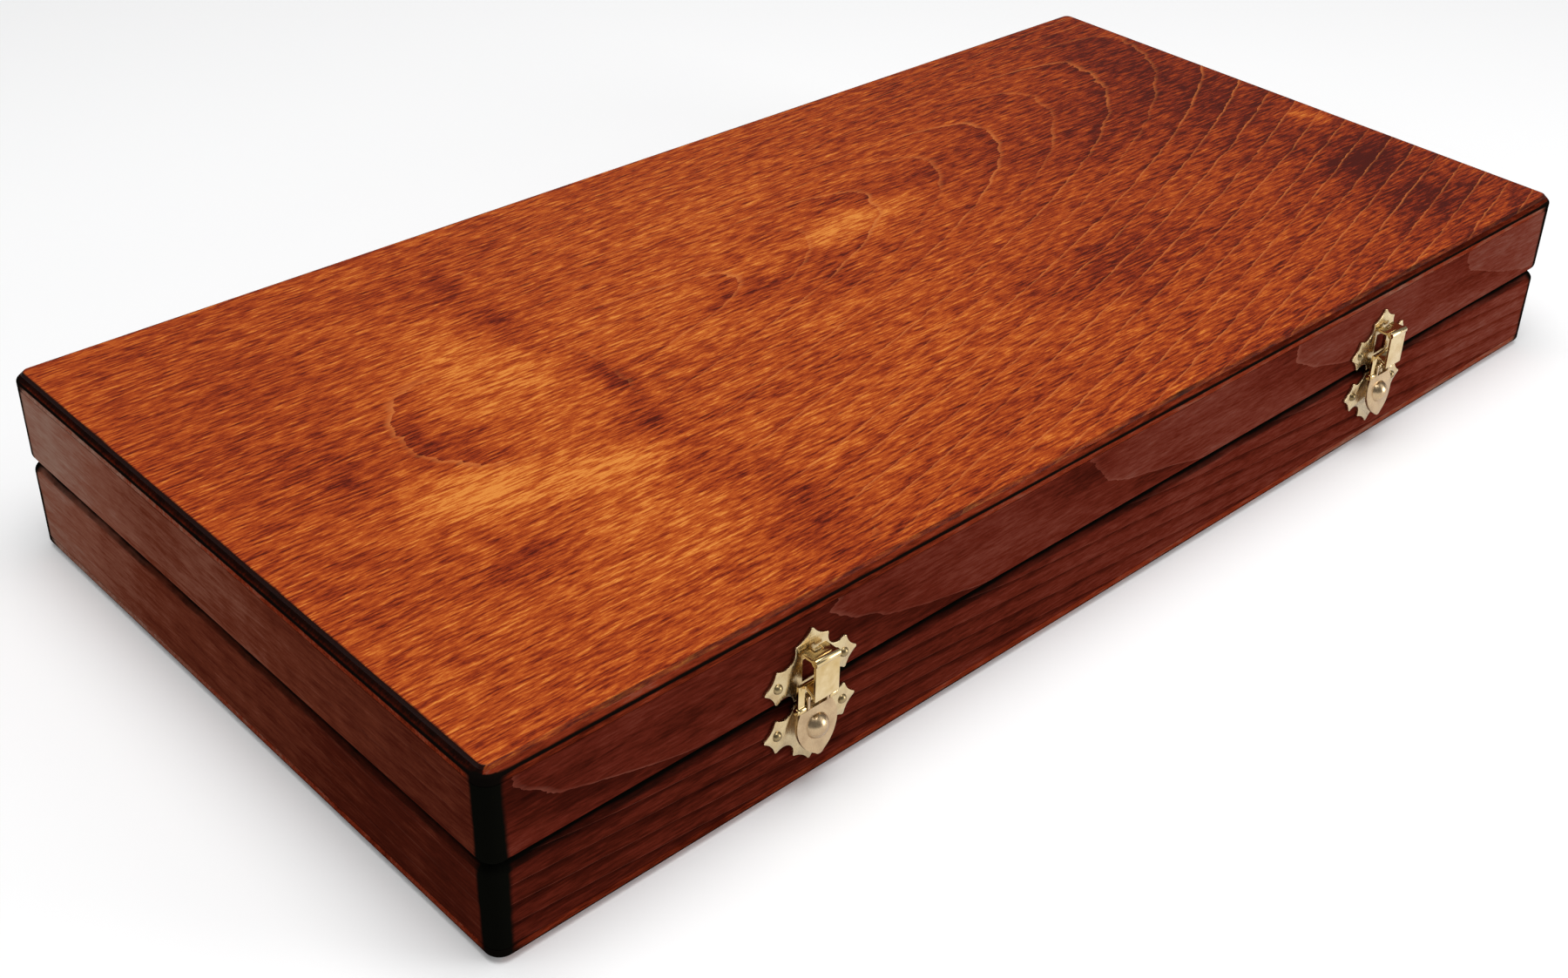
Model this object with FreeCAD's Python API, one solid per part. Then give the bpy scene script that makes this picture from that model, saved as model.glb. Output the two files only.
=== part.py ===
import FreeCAD, Part
import math
import os

os.makedirs("parts", exist_ok=True)
V = FreeCAD.Vector

# ---- overall case (mm, +Z up, front long side toward -Y) ----
length = 400.0
width = 200.0
half_height = 26.0
wall = 8.0
panel_thickness = 4.0
corner_radius = 4.0
seam_chamfer = 2.0
panel_chamfer = 2.0

# ---- playing field let into each panel ----
points_per_end = 6
point_length = 150.0
point_depth = 0.6
point_side_gap = 1.2
point_tip = 1.0

# ---- hinges on the back long side ----
hinge_x = 118.0
hinge_width = 24.0
leaf_thickness = 0.95
leaf_seam_gap = 0.05
leaf_reach = 7.8
axis_out = 0.8
knuckle_radius = 1.6
hinge_pin_radius = 0.8
running_gap = 0.05
knuckle_gap = 0.15
swing_gap = 0.3
hinge_screw_radius = 0.9
hinge_screw_head = 1.8
hinge_screw_length = 7.0
hinge_screw_spread = 7.5

# ---- latches on the front long side ----
latch_left_x = -114.5
latch_right_x = 108.0
plate_thickness = 0.8
plate_seam_gap = 0.5
lobe_reach = 14.4
lobe_level = 6.7
lobe_half = 5.1
lobe_shoulder = 10.4
crown_reach = 19.0
crown_shoulder = 5.1
crown_level = 15.2
tab_half = 5.0
tip_radius = 0.5
nail_x = 9.9
nail_radius = 0.5
nail_head = 1.25
nail_head_height = 0.9
nail_length = 6.0
pivot_out = 2.4
pivot_level = 1.6
link_offset = 2.6
latch_pin_radius = 0.5
eye_radius = 1.0
ear_inner = 1.6
ear_thickness = 0.8
side_gap = 0.2
lug_thickness = 0.7
leg_width = 2.0
sheet = 0.8
lever_tuck = 0.6
lever_tilt = 8.0
lever_half = 6.0
lever_neck = 4.7
lever_length = 12.0
lever_shoulder = 5.3
dome_radius = 3.2
dome_height = 2.2
dome_level = -7.5
strap_half = 3.6
strap_out = 6.0
strap_low = 2.6
strap_high = 13.6
bead_radius = 1.0
bead_proud = 0.35
crossbar_level = 5.0
crossbar_height = 0.9
shelf_plate_gap = 0.5
prong_half = 1.0
prong_gap = 0.3
prong_out = 1.8
prong_rise = 0.2
window_half = 2.8
window_height = 6.0

# ---- loose playing pieces ----
checker_play = 2.6
checker_height = 8.0
checker_edge = 1.2
checker_rim = 3.0
checker_dish = 0.9
checker_gap = 1.5
checkers_per_row = 5
rows_per_colour = 3
die_size = 12.0
die_gap = 8.0
cube_size = 18.0
loose_edge = 1.2
loose_from_end = 42.0

inside = width - 2 * wall
lane = inside / points_per_end
checker_diameter = lane - checker_play
seam = half_height
front = -width / 2.0
back = width / 2.0
axis_y = back + axis_out


def save(name, shape):
    shape.exportStep("parts/" + name + ".step")


def block(x0, x1, y0, y1, z0, z1):
    return Part.makeBox(x1 - x0, y1 - y0, z1 - z0, V(x0, y0, z0))


def joined(shapes):
    out = shapes[0]
    for shape in shapes[1:]:
        out = out.fuse(shape)
    return out.removeSplitter()


def flipped(shape):
    """The same piece on the other half: mirrored in the seam plane."""
    return shape.mirror(V(0, 0, seam), V(0, 0, 1))


def rod(x0, x1, y, z, radius):
    return Part.makeCylinder(radius, x1 - x0, V(x0, y, z), V(1, 0, 0))


def edges_where(shape, test):
    return [e for e in shape.Edges if test(e.BoundBox)]


# ---------------------------------------------------------------- case
def case_block(z0, z1, chamfer_z, chamfer):
    """Outer envelope with rounded uprights and one chamfered rim."""
    solid = block(-length / 2, length / 2, front, back, z0, z1)
    solid = solid.makeFillet(corner_radius, edges_where(solid, lambda b: b.ZLength > (z1 - z0) * 0.9))
    rim = edges_where(solid, lambda b: abs(b.ZMin - chamfer_z) < 0.01 and abs(b.ZMax - chamfer_z) < 0.01)
    return solid.makeChamfer(chamfer, rim)


def prism(points, z0, z1):
    corners = [V(x, y, z0) for x, y in points]
    face = Part.Face(Part.makePolygon(corners + [corners[0]]))
    return face.extrude(V(0, 0, z1 - z0))


def long_rail(y_out, side):
    inner = y_out - side * wall
    outline = [
        (-length / 2, y_out),
        (length / 2, y_out),
        (length / 2 - wall, inner),
        (-length / 2 + wall, inner),
    ]
    return prism(outline, panel_thickness, seam)


def end_rail(side):
    x_out = side * length / 2
    inner = x_out - side * wall
    outline = [
        (x_out, front),
        (x_out, back),
        (inner, back - wall),
        (inner, front + wall),
    ]
    return prism(outline, panel_thickness, seam)


frame_block = case_block(panel_thickness, seam, seam, seam_chamfer)
panel_block = case_block(0.0, panel_thickness, 0.0, panel_chamfer)


# -------------------------------------------------------------- hinges
def leaf_plate(xc):
    y_in = back - leaf_reach + 1.0
    y_plate = axis_y - knuckle_radius - swing_gap
    z1 = seam - leaf_seam_gap
    z0 = z1 - leaf_thickness
    return block(xc - hinge_width / 2, xc + hinge_width / 2, y_in, y_plate, z0, z1)


def knuckle(x0, x1, y_in):
    """A tongue of the leaf rolled round the pin."""
    z1 = seam - leaf_seam_gap
    tongue = block(x0, x1, y_in, axis_y, z1 - leaf_thickness, z1)
    return joined([rod(x0, x1, axis_y, seam, knuckle_radius), tongue])


def hinge_screw(x):
    y = back - wall / 2.0 - 0.2
    top = seam - leaf_seam_gap
    head = Part.makeCone(hinge_screw_head, hinge_screw_radius, leaf_thickness, V(x, y, top), V(0, 0, -1))
    shank = Part.makeCylinder(hinge_screw_radius, hinge_screw_length, V(x, y, top), V(0, 0, -1))
    return joined([head, shank])


def hinge_screws(xc):
    return [hinge_screw(xc - hinge_screw_spread), hinge_screw(xc + hinge_screw_spread)]


def leaf_outer(xc):
    """Leaf with two end knuckles that grip the pin."""
    third = hinge_width / 3.0
    y_in = axis_y - knuckle_radius - swing_gap - 1.0
    left = knuckle(xc - hinge_width / 2, xc - third / 2 - knuckle_gap / 2, y_in)
    right = knuckle(xc + third / 2 + knuckle_gap / 2, xc + hinge_width / 2, y_in)
    leaf = joined([leaf_plate(xc), left, right])
    leaf = leaf.cut(rod(xc - hinge_width, xc + hinge_width, axis_y, seam, hinge_pin_radius))
    for screw in hinge_screws(xc):
        leaf = leaf.cut(screw)
    return leaf


def leaf_middle(xc):
    """Leaf with the one middle knuckle that turns on the pin."""
    third = hinge_width / 3.0
    y_in = axis_y - knuckle_radius - swing_gap - 1.0
    middle = knuckle(xc - third / 2 + knuckle_gap / 2, xc + third / 2 - knuckle_gap / 2, y_in)
    leaf = joined([leaf_plate(xc), middle])
    leaf = leaf.cut(rod(xc - hinge_width, xc + hinge_width, axis_y, seam, hinge_pin_radius + running_gap))
    for screw in hinge_screws(xc):
        leaf = leaf.cut(screw)
    return flipped(leaf)


def hinge_pocket(xc):
    y_in = back - leaf_reach + 1.0
    half = hinge_width / 2 + side_gap / 2
    depth = leaf_thickness + leaf_seam_gap
    return block(xc - half, xc + half, y_in, back + 1.0, seam - depth, seam + 1.0)


hinge_screw_set = hinge_screws(-hinge_x) + hinge_screws(hinge_x)


# ------------------------------------------------------------- latches
def at(x, out, level):
    """Latch point: along the front, out from the face, up from the seam."""
    return V(x, front - out, seam + level)


def plane_shape(points, x0, x1):
    """Prism along X over an outline given as (out, level) pairs."""
    corners = [at(x0, o, z) for o, z in points]
    face = Part.Face(Part.makePolygon(corners + [corners[0]]))
    return face.extrude(V(x1 - x0, 0, 0))


def slab(x0, x1, out0, out1, low, high):
    return block(x0, x1, front - out1, front - out0, seam + low, seam + high)


def pin(x0, x1, out, level, radius):
    return rod(x0, x1, front - out, seam + level, radius)


def scallop(a, b, sag):
    """Arc between two tips, hollowed to the left of the way from a to b."""
    way = b - a
    normal = V(-way.z, 0, way.x)
    normal.normalize()
    middle = (a + b) * 0.5 + normal * sag
    return Part.Arc(a, middle, b).toShape()


def leaf_outline(xc):
    """Three-pointed lobe each side, a crown above, a tab at the seam."""
    half = [
        V(tab_half, 0, plate_seam_gap),
        V(lobe_shoulder, 0, lobe_level - lobe_half),
        V(lobe_reach, 0, lobe_level),
        V(lobe_shoulder, 0, lobe_level + lobe_half),
        V(crown_shoulder, 0, crown_level),
        V(0, 0, crown_reach),
    ]
    sags = [2.2, 0.9, 0.9, 2.7, 0.8]
    right = [scallop(a, b, s) for a, b, s in zip(half[:-1], half[1:], sags)]
    mirrored = [V(-p.x, 0, p.z) for p in half]
    left = [scallop(b, a, s) for a, b, s in zip(mirrored[:-1], mirrored[1:], sags)]
    base = Part.LineSegment(mirrored[0], half[0]).toShape()
    wire = Part.Wire([base] + right + left[::-1])
    face = Part.Face(wire)
    solid = face.extrude(V(0, -plate_thickness, 0))
    tips = half[1:] + mirrored[1:-1]
    sharp = []
    for edge in solid.Edges:
        box = edge.BoundBox
        flat = box.XLength < 0.01 and box.ZLength < 0.01
        near = [t for t in tips if abs(t.x - box.XMin) < 0.01 and abs(t.z - box.ZMin) < 0.01]
        if flat and near:
            sharp.append(edge)
    solid = solid.makeFillet(tip_radius, sharp)
    solid.translate(V(xc, front, seam))
    return solid


def nail(x, level):
    y = front - plate_thickness
    sphere_r = (nail_head ** 2 + nail_head_height ** 2) / (2 * nail_head_height)
    ball = Part.makeSphere(sphere_r, V(x, y + sphere_r - nail_head_height, seam + level))
    cut = block(x - 3, x + 3, y, y + 9, seam + level - 3, seam + level + 3)
    shank = Part.makeCylinder(nail_radius, plate_thickness + nail_length, V(x, y, seam + level), V(0, 1, 0))
    return joined([ball.cut(cut), shank])


def nails(xc, side):
    return [nail(xc - nail_x, side * lobe_level), nail(xc + nail_x, side * lobe_level)]


lug_inner = ear_inner + ear_thickness + side_gap
lug_outer = lug_inner + lug_thickness
leg_inner = lug_outer + side_gap + 0.1
leg_outer = leg_inner + leg_width
link_level = pivot_level - link_offset
lever_in = pivot_out - lever_tuck
lever_out = lever_in + sheet
lever_top = link_level - eye_radius - 0.35
bore_radius = latch_pin_radius + running_gap


def both_sides(xc, x0, x1, maker):
    return [maker(xc + x0, xc + x1), maker(xc - x1, xc - x0)]


def latch_base(xc):
    """Lower leaf plate with two upright ears for the lever's pin."""
    plate = flipped(leaf_outline(xc))
    root = [
        (plate_thickness / 2, -3.4),
        (plate_thickness / 2, -1.2),
        (pivot_out - eye_radius, pivot_level),
        (pivot_out + eye_radius, pivot_level),
    ]
    ears = both_sides(xc, ear_inner, ear_inner + ear_thickness, lambda a, b: joined(
        [plane_shape(root, a, b), pin(a, b, pivot_out, pivot_level, eye_radius)]))
    solid = joined([plate] + ears)
    solid = solid.cut(pin(xc - 9, xc + 9, pivot_out, pivot_level, latch_pin_radius))
    for one in nails(xc, -1):
        solid = solid.cut(one)
    return solid


def latch_catch(xc):
    """Upper leaf plate with the upturned prong the link drops over."""
    shelf_low = strap_high - sheet
    neck_low = shelf_low - prong_gap - 2 * sheet + 0.2
    tip = strap_high + prong_rise
    out0 = plate_thickness / 2
    out1 = plate_thickness + prong_out
    plate = leaf_outline(xc)
    window = slab(xc - window_half, xc + window_half, -1, 2, neck_low - window_height, neck_low)
    neck = slab(xc - prong_half, xc + prong_half, out0, out1, neck_low, neck_low + sheet)
    stub = slab(xc - prong_half, xc + prong_half, out1 - sheet, out1, neck_low, tip)
    solid = joined([plate.cut(window), neck, stub])
    for one in nails(xc, 1):
        solid = solid.cut(one)
    return solid


def shield_outline(xc):
    tip_half = 1.3
    side_end = lever_top - lever_shoulder
    low = lever_top - lever_length
    pts = [
        at(xc - lever_neck, lever_in, lever_top),
        at(xc + lever_neck, lever_in, lever_top),
        at(xc + lever_half, lever_in, side_end),
        at(xc + tip_half, lever_in, low),
        at(xc - tip_half, lever_in, low),
        at(xc - lever_half, lever_in, side_end),
    ]
    edges = [
        Part.LineSegment(pts[0], pts[1]).toShape(),
        scallop(pts[1], pts[2], 0.5),
        scallop(pts[2], pts[3], 0.9),
        Part.Arc(pts[3], at(xc, lever_in, low - 0.7), pts[4]).toShape(),
        scallop(pts[4], pts[5], 0.9),
        scallop(pts[5], pts[0], 0.5),
    ]
    return Part.Face(Part.Wire(edges)).extrude(V(0, -sheet, 0))


def latch_lever(xc):
    """Shield-shaped thumb lever with two lugs behind it."""
    lug = [
        (pivot_out - eye_radius, pivot_level),
        (pivot_out + eye_radius, pivot_level),
        (pivot_out + eye_radius, link_level),
        (lever_in + sheet, lever_top),
        (lever_in + sheet, lever_top - 2.4),
        (lever_in + sheet / 2, lever_top - 2.4),
        (pivot_out - eye_radius, link_level),
    ]
    lugs = both_sides(xc, lug_inner, lug_outer, lambda a, b: joined([
        plane_shape(lug, a, b),
        pin(a, b, pivot_out, pivot_level, eye_radius),
        pin(a, b, pivot_out, link_level, eye_radius)]))
    ball_r = (dome_radius ** 2 + dome_height ** 2) / (2 * dome_height)
    centre = at(xc, lever_out + dome_height - ball_r, dome_level)
    dome = Part.makeSphere(ball_r, centre)
    dome = dome.common(slab(xc - 9, xc + 9, lever_out - 0.1, lever_out + 3, dome_level - 9, dome_level + 9))
    shield = joined([shield_outline(xc), dome])
    shield.rotate(at(xc, lever_in, lever_top), V(-1, 0, 0), lever_tilt)
    solid = joined([shield] + lugs)
    solid = solid.cut(pin(xc - 9, xc + 9, pivot_out, pivot_level, bore_radius))
    return solid.cut(pin(xc - 9, xc + 9, pivot_out, link_level, latch_pin_radius))


def latch_link(xc):
    """Two legs, a cross bar and a band that goes out, up and back to a shelf."""
    half = sheet / 2
    legs = both_sides(xc, leg_inner, leg_outer, lambda a, b: joined([
        slab(a, b, pivot_out - half, pivot_out + half, link_level, crossbar_level + half),
        pin(a, b, pivot_out, link_level, eye_radius)]))
    bar_top = crossbar_level + crossbar_height
    bar = slab(xc - leg_outer, xc + leg_outer, pivot_out - half, pivot_out + half, crossbar_level, bar_top)
    sloped = [
        (pivot_out - half, crossbar_level),
        (pivot_out - half, bar_top),
        (strap_out, strap_low + crossbar_height),
        (strap_out, strap_low),
    ]
    band = plane_shape(sloped, xc - strap_half, xc + strap_half)
    strap = slab(xc - strap_half, xc + strap_half, strap_out - sheet, strap_out, strap_low, strap_high)
    shelf_in = plate_thickness + shelf_plate_gap
    shelf = slab(xc - strap_half, xc + strap_half, shelf_in, strap_out, strap_high - sheet, strap_high)
    bead_at = bead_radius - bead_proud
    bead = pin(xc - strap_half, xc + strap_half, strap_out - bead_at, strap_high - bead_at, bead_radius)
    slot_half = prong_half + prong_gap
    slot_out = plate_thickness + prong_out + prong_gap
    slot = slab(xc - slot_half, xc + slot_half, 0, slot_out, strap_high - 2, strap_high + 2)
    solid = joined(legs + [bar, band, strap, shelf, bead]).cut(slot)
    return solid.cut(pin(xc - 9, xc + 9, pivot_out, link_level, bore_radius))


def latch_pin(xc):
    return pin(xc - lug_outer - 0.1, xc + lug_outer + 0.1, pivot_out, pivot_level, latch_pin_radius)


def link_rivets(xc):
    """Two short rivets, each through one lug and one leg."""
    head_x = leg_outer + 0.05
    return both_sides(xc, lug_inner, head_x, lambda a, b: joined([
        pin(a, b, pivot_out, link_level, latch_pin_radius),
        pin(b if a > xc else a - 0.4, b + 0.4 if a > xc else a, pivot_out, link_level, eye_radius - 0.1)]))


latch_places = {"left": latch_left_x, "right": latch_right_x}
lower_nails = nails(latch_left_x, -1) + nails(latch_right_x, -1)

# ---------------------------------------------------------- case parts
front_rail = long_rail(front, -1).common(frame_block)
for one in lower_nails:
    front_rail = front_rail.cut(one)
back_rail = long_rail(back, 1).common(frame_block)
for centre in (-hinge_x, hinge_x):
    back_rail = back_rail.cut(hinge_pocket(centre))
for screw in hinge_screw_set:
    back_rail = back_rail.cut(screw)
rails = {
    "front_rail": front_rail,
    "back_rail": back_rail,
    "left_rail": end_rail(-1).common(frame_block),
    "right_rail": end_rail(1).common(frame_block),
}


def board_point(end, index):
    """A long narrow triangle from one end wall toward the middle."""
    y = -inside / 2 + lane * (index + 0.5)
    x0 = end * (length / 2 - wall)
    x1 = x0 - end * point_length
    base = lane / 2 - point_side_gap / 2
    outline = [(x0, y - base), (x1, y - point_tip / 2), (x1, y + point_tip / 2), (x0, y + base)]
    return prism(outline, panel_thickness - point_depth, panel_thickness)


light_points = []
dark_points = []
for end in (-1, 1):
    for index in range(points_per_end):
        shade = light_points if (index + (end > 0)) % 2 == 0 else dark_points
        shade.append(board_point(end, index))
panel = panel_block
for inlay in light_points + dark_points:
    panel = panel.cut(inlay)
flat = {"panel": panel, "points_light": Part.makeCompound(light_points), "points_dark": Part.makeCompound(dark_points)}

for name, shape in list(rails.items()) + list(flat.items()):
    save("lower_" + name, shape)
    save("upper_" + name, flipped(shape))

for side, centre in (("left", -hinge_x), ("right", hinge_x)):
    save("hinge_" + side + "_leaf_lower", leaf_outer(centre))
    save("hinge_" + side + "_leaf_upper", leaf_middle(centre))
    save("hinge_" + side + "_pin", rod(centre - hinge_width / 2, centre + hinge_width / 2, axis_y, seam, hinge_pin_radius))
save("hinge_screws_lower", Part.makeCompound(hinge_screw_set))
save("hinge_screws_upper", Part.makeCompound([flipped(s) for s in hinge_screw_set]))

for side, centre in latch_places.items():
    save("latch_" + side + "_base", latch_base(centre))
    save("latch_" + side + "_catch", latch_catch(centre))
    save("latch_" + side + "_lever", latch_lever(centre))
    save("latch_" + side + "_link", latch_link(centre))
    save("latch_" + side + "_pin", latch_pin(centre))
    save("latch_" + side + "_rivets", Part.makeCompound(link_rivets(centre)))
save("latch_nails_lower", Part.makeCompound(lower_nails))
save("latch_nails_upper", Part.makeCompound([flipped(n) for n in lower_nails]))


# -------------------------------------------------------- loose pieces
def checker(x, y):
    r = checker_diameter / 2
    z0 = panel_thickness
    z1 = z0 + checker_height
    dish_r = r - checker_rim
    profile = [
        V(0, 0, z0 + checker_dish),
        V(dish_r - checker_dish, 0, z0 + checker_dish),
        V(dish_r, 0, z0),
        V(r - checker_edge, 0, z0),
        V(r, 0, z0 + checker_edge),
        V(r, 0, z1 - checker_edge),
        V(r - checker_edge, 0, z1),
        V(dish_r, 0, z1),
        V(dish_r - checker_dish, 0, z1 - checker_dish),
        V(0, 0, z1 - checker_dish),
    ]
    face = Part.Face(Part.makePolygon(profile + [profile[0]]))
    solid = face.revolve(V(0, 0, 0), V(0, 0, 1), 360)
    solid.translate(V(x, y, 0))
    return solid


pitch = checker_diameter + checker_gap
rows = 2 * rows_per_colour
first_x = -length / 2 + wall + checker_gap + checker_diameter / 2
for row in range(rows):
    y = lane * (row - (rows - 1) / 2.0)
    stack = [checker(first_x + pitch * k, y) for k in range(checkers_per_row)]
    colour = "light" if row < rows_per_colour else "dark"
    number = row % rows_per_colour + 1
    save("checkers_" + colour + "_" + str(number), Part.makeCompound(stack))


def rounded_cube(x, y, size):
    half = size / 2
    cube = block(x - half, x + half, y - half, y + half, panel_thickness, panel_thickness + size)
    return cube.makeFillet(loose_edge, cube.Edges)


loose_x = length / 2 - wall - loose_from_end
step = die_size + die_gap
for colour, y0 in (("light", -3 * step), ("dark", -step)):
    pair = [rounded_cube(loose_x, y0, die_size), rounded_cube(loose_x, y0 + step, die_size)]
    save("dice_" + colour, Part.makeCompound(pair))
save("doubling_cube", rounded_cube(loose_x, 2 * step, cube_size))
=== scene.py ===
"""Folding wooden backgammon case: stained veneer panels, mitred rails, pressed brass latches, and the
playing pieces inside."""

import bmesh
import bpy
import numpy as np
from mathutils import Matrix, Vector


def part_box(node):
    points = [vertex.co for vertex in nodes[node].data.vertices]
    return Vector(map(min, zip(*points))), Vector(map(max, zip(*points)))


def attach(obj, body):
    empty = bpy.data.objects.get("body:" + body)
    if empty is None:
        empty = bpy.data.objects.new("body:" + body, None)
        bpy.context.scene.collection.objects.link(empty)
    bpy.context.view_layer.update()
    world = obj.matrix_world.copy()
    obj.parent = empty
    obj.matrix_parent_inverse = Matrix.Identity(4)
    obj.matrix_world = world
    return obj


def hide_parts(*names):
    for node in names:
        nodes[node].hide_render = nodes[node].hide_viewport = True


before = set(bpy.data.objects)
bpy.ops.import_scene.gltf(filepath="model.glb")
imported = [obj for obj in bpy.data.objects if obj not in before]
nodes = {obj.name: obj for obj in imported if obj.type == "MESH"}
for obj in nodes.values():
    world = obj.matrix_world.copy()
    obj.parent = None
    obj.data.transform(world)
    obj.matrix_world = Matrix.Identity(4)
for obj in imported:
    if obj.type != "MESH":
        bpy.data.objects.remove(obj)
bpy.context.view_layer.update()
MM = 0.001

# ---- sizes in millimetres; the first five are read from the frame ----
HALF_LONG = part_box("lower_panel")[1].x / MM
HALF_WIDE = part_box("lower_panel")[1].y / MM
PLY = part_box("lower_panel")[1].z / MM
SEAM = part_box("lower_front_rail")[1].z / MM
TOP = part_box("upper_panel")[1].z / MM
WALL = 8.0  # thickness of the rails
UPRIGHT = 4.0  # radius of the rounded uprights
BEVEL = 2.0  # chamfer along the seam and round each panel
VENEER = 0.7  # outside sheet of a panel
FIELD = 0.58  # depth of the playing field's sheet
HAIR = 0.02  # gap that keeps one sheet clear of the next
HINGE_AT, HINGE_HALF = 118.0, 12.1  # a hinge recess: its middle along the back, and half its length
HINGE_REACH, HINGE_DEPTH = 6.8, 1.0  # how far it goes in from the outer face, and down from the seam
ARC_STEPS = 4  # spans in a rounded corner of a profile
QUARTER = 6  # spans in half of an upright's quarter circle
PIP_DEPTH, PIP_REACH, PIP_AT = 0.7, 0.2, 0.5  # a die's spot; radius and place as shares of half a side


# ------------------------------------------------------------ mesh making
def grid_faces(rows, columns, rows_closed=False, columns_closed=False):
    """Quads between neighbouring rows and columns; a closed way joins its last line to its first."""
    r = np.arange(rows if rows_closed else rows - 1)
    c = np.arange(columns if columns_closed else columns - 1)
    i, j = np.meshgrid(r, c, indexing="ij")
    k, m = (i + 1) % rows, (j + 1) % columns
    quads = np.stack([i * columns + j, i * columns + m, k * columns + m, k * columns + j], -1)
    return quads.reshape(-1, 4)


def build(name, shells, material, crease=32.0):
    """One object from (points, faces) shells in mm: doubles welded, faces turned outwards, creases kept
    sharp. A shell's faces are an array of quads, or a list of faces with any number of corners."""
    mesh = bpy.data.meshes.new(name)
    points, faces, start = [], [], 0
    for shell_points, shell_faces in shells:
        shell_points = np.asarray(shell_points, float).reshape(-1, 3)
        points.append(shell_points)
        if isinstance(shell_faces, np.ndarray):
            faces += (shell_faces + start).tolist()
        else:
            faces += [[corner + start for corner in face] for face in shell_faces]
        start += len(shell_points)
    mesh.from_pydata((np.concatenate(points) * MM).tolist(), [], faces)
    work = bmesh.new()
    work.from_mesh(mesh)
    bmesh.ops.remove_doubles(work, verts=work.verts, dist=2e-6)
    bmesh.ops.dissolve_degenerate(work, edges=work.edges, dist=1e-7)
    bmesh.ops.recalc_face_normals(work, faces=work.faces)
    work.to_mesh(mesh)
    work.free()
    mesh.polygons.foreach_set("use_smooth", np.ones(len(mesh.polygons), bool))
    mesh.set_sharp_from_angle(angle=np.radians(crease))
    obj = bpy.data.objects.new(name, mesh)
    bpy.context.scene.collection.objects.link(obj)
    mesh.materials.append(material)
    return obj


def box_of(name):
    """Lowest and highest corners of a CAD node in millimetres."""
    low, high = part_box(name)
    return np.array(low) / MM, np.array(high) / MM


def read_points(mesh):
    """Vertex positions of a mesh as rows of x, y, z, in its own units."""
    co = np.empty(len(mesh.vertices) * 3, np.float32)
    mesh.vertices.foreach_get("co", co)
    return co.reshape(-1, 3).astype(float)


def paint(obj, figure, shade):
    """Stores the grain figure (ring count, tone, ring strength) and the edge shading on a piece's vertices."""
    vector = obj.data.attributes.new("figure", "FLOAT_VECTOR", "POINT")
    vector.data.foreach_set("vector", np.stack(figure, -1).astype(np.float32).ravel())
    edge = obj.data.attributes.new("shade", "FLOAT", "POINT")
    edge.data.foreach_set("value", np.asarray(shade, np.float32))


def place(obj, body, *replaced):
    """A finished piece rides on its body and stands for the CAD nodes it replaces."""
    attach(obj, body)
    if replaced:
        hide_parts(*replaced)
    return obj


def eased(value, low, high):
    """Smooth step from 0 at low to 1 at high."""
    t = np.clip((value - low) / (high - low), 0, 1)
    return t * t * (3 - 2 * t)


def bell(value, centre, reach):
    """Bell curve: 1 at the centre, falling as exp(-(distance / reach) squared)."""
    return np.exp(-(((value - centre) / reach) ** 2))


def rounded(corners, radii, steps=ARC_STEPS):
    """Closed outline whose corners are rounded: from a point one radius before each corner, a parabola
    pulled to the corner, to a point one radius after it."""
    p = np.asarray(corners, float)
    r = np.asarray(radii, float)[:, None]
    before = np.roll(p, 1, 0) - p
    after = np.roll(p, -1, 0) - p
    a = p + before / np.linalg.norm(before, axis=1, keepdims=True) * r
    b = p + after / np.linalg.norm(after, axis=1, keepdims=True) * r
    t = np.linspace(0, 1, steps + 1)[None, :, None]
    curve = (1 - t) ** 2 * a[:, None] + 2 * t * (1 - t) * p[:, None] + t**2 * b[:, None]
    return curve.reshape(-1, p.shape[1])


def refined(outline, spacing, closed=True):
    """The same outline with points added along it at an even spacing."""
    p = np.concatenate([outline, outline[:1]]) if closed else np.asarray(outline, float)
    s = np.concatenate([[0], np.cumsum(np.linalg.norm(np.diff(p, axis=0), axis=1))])
    keep = np.concatenate([[True], np.diff(s) > 1e-6])
    p, s = p[keep], s[keep]
    extra = np.arange(0, s[-1], spacing)
    near = np.abs(extra[:, None] - s[None]).min(1) > spacing * 0.3
    at = np.sort(np.concatenate([s, extra[near]]))
    out = np.stack([np.interp(at, s, p[:, k]) for k in range(p.shape[1])], -1)
    return out[:-1] if closed else out


# -------------------------------------------------------------- materials
def colour(code):
    """Linear colour from an sRGB hex code."""
    c = np.array([int(code[i : i + 2], 16) for i in (1, 3, 5)]) / 255
    linear = np.where(c <= 0.04045, c / 12.92, ((c + 0.055) / 1.055) ** 2.4)
    return (*linear.tolist(), 1.0)


def node(tree, kind, inputs=None, **settings):
    """Adds one node with its settings, and links or sets its inputs."""
    made = tree.nodes.new(kind)
    for name, value in settings.items():
        setattr(made, name, value)
    for key, value in (inputs or {}).items():
        if isinstance(value, bpy.types.NodeSocket):
            tree.links.new(value, made.inputs[key])
        else:
            made.inputs[key].default_value = value
    return made


def stops(ramp, colours):
    """Sets a colour ramp's stops from (position, hex) pairs."""
    band = ramp.color_ramp
    while len(band.elements) > 1:
        band.elements.remove(band.elements[-1])
    band.elements[0].position, band.elements[0].color = colours[0][0], colour(colours[0][1])
    for position, code in colours[1:]:
        band.elements.new(position).color = colour(code)
    return ramp.outputs["Color"]


def empty_material(name):
    """A new material with nothing in its node tree, and that tree."""
    made = bpy.data.materials.new(name)
    made.use_nodes = True
    made.node_tree.nodes.clear()
    return made, made.node_tree


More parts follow.
